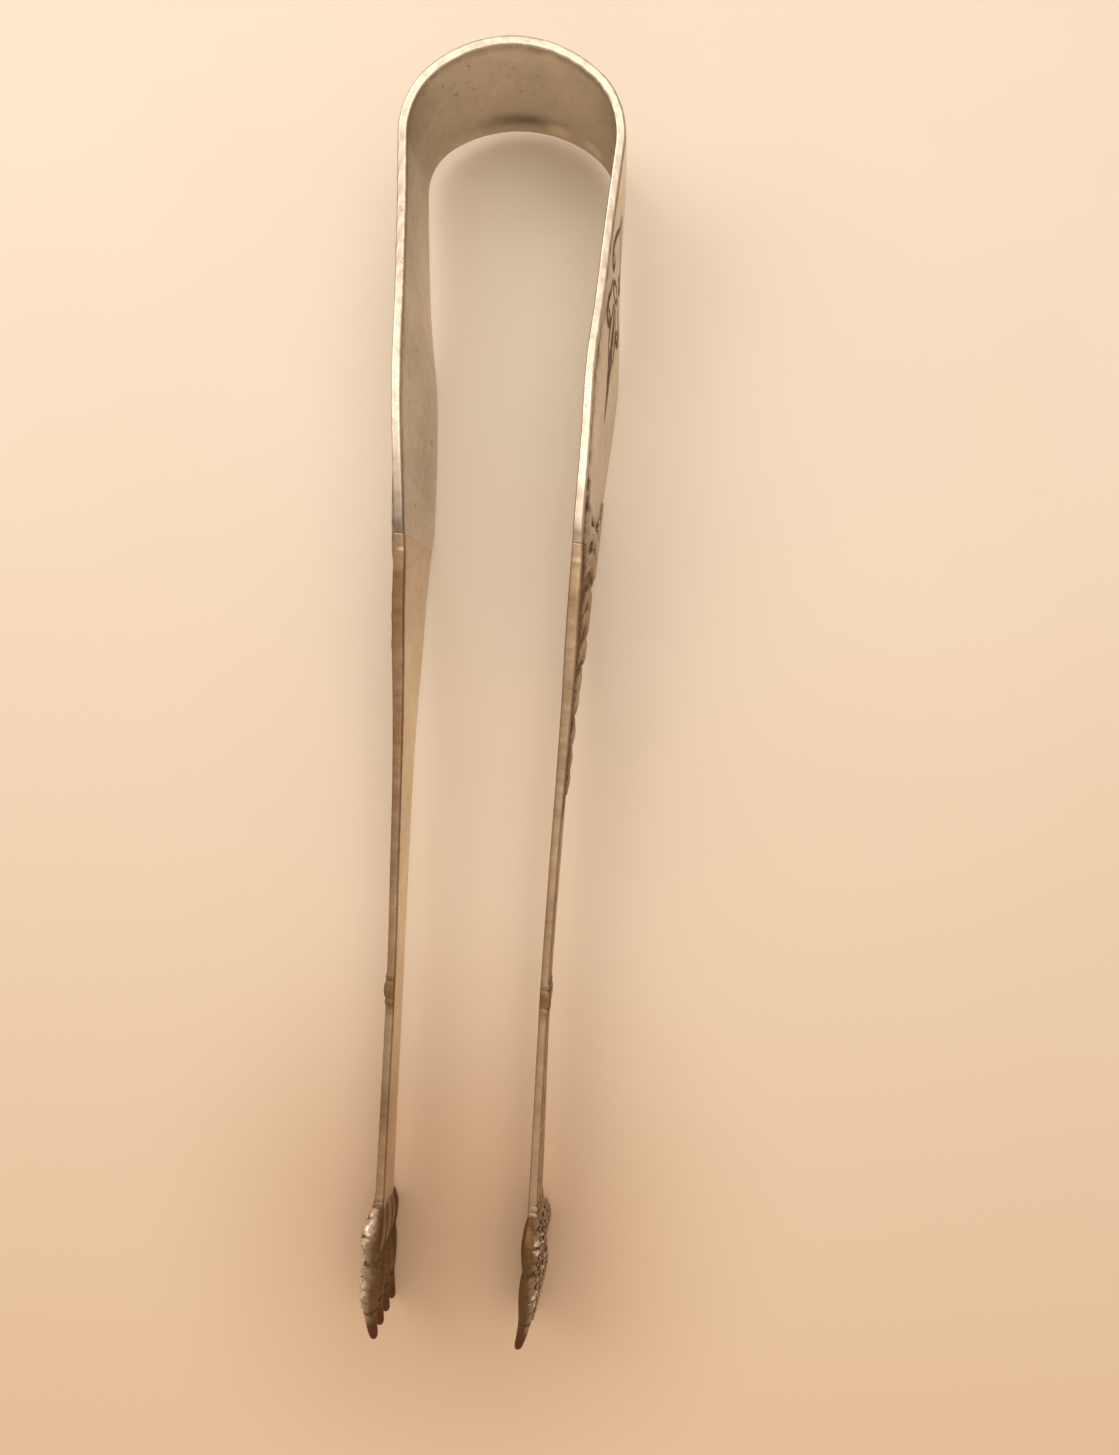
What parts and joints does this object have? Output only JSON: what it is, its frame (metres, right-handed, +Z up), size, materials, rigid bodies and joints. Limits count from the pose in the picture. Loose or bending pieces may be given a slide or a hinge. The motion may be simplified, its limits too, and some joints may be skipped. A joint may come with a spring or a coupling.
{
  "type": "sugar tongs",
  "caption": "One-handed sprung tongs: a wide U-shaped bow, slim ornamented arms and toed claw feet that close together when the sides are squeezed.",
  "frame": {"origin": "middle of the bounding box, on the table the tongs lie on", "axes": "+Y from the claws to the crown of the bow, +X across the arms, +Z up across the width of the strip"},
  "size_m": [0.0206, 0.1203, 0.0141],
  "materials": {
    "rolled_silver": "worn polish, tarnished in the ornament",
    "cast_silver": "worn polish, dark tarnish in the recesses"
  },
  "bodies": {
    "crown": {"bow": "rolled_silver"},
    "left_half": {"bow_side_left": "rolled_silver", "arm_left": "cast_silver", "claw_left": "cast_silver"},
    "right_half": {"bow_side_right": "rolled_silver", "arm_right": "cast_silver", "claw_right": "cast_silver"}
  },
  "joints": [
    {"name": "left_close", "type": "hinge", "parent": "crown", "child": "left_half", "pos_m": [-0.00944, 0.04598, 0.00699], "axis": [0, -0.0307, 0.9995], "range_deg": [0, 3.5], "stiffness_Nm_per_rad": 1.7},
    {"name": "right_close", "type": "hinge", "parent": "crown", "child": "right_half", "pos_m": [0.00944, 0.04598, 0.00699], "axis": [0, 0.0307, -0.9995], "range_deg": [0, 3.5], "stiffness_Nm_per_rad": 1.7}
  ],
  "couplings": [
    {"joint": "right_close", "follows": "left_close", "ratio": 1}
  ]
}
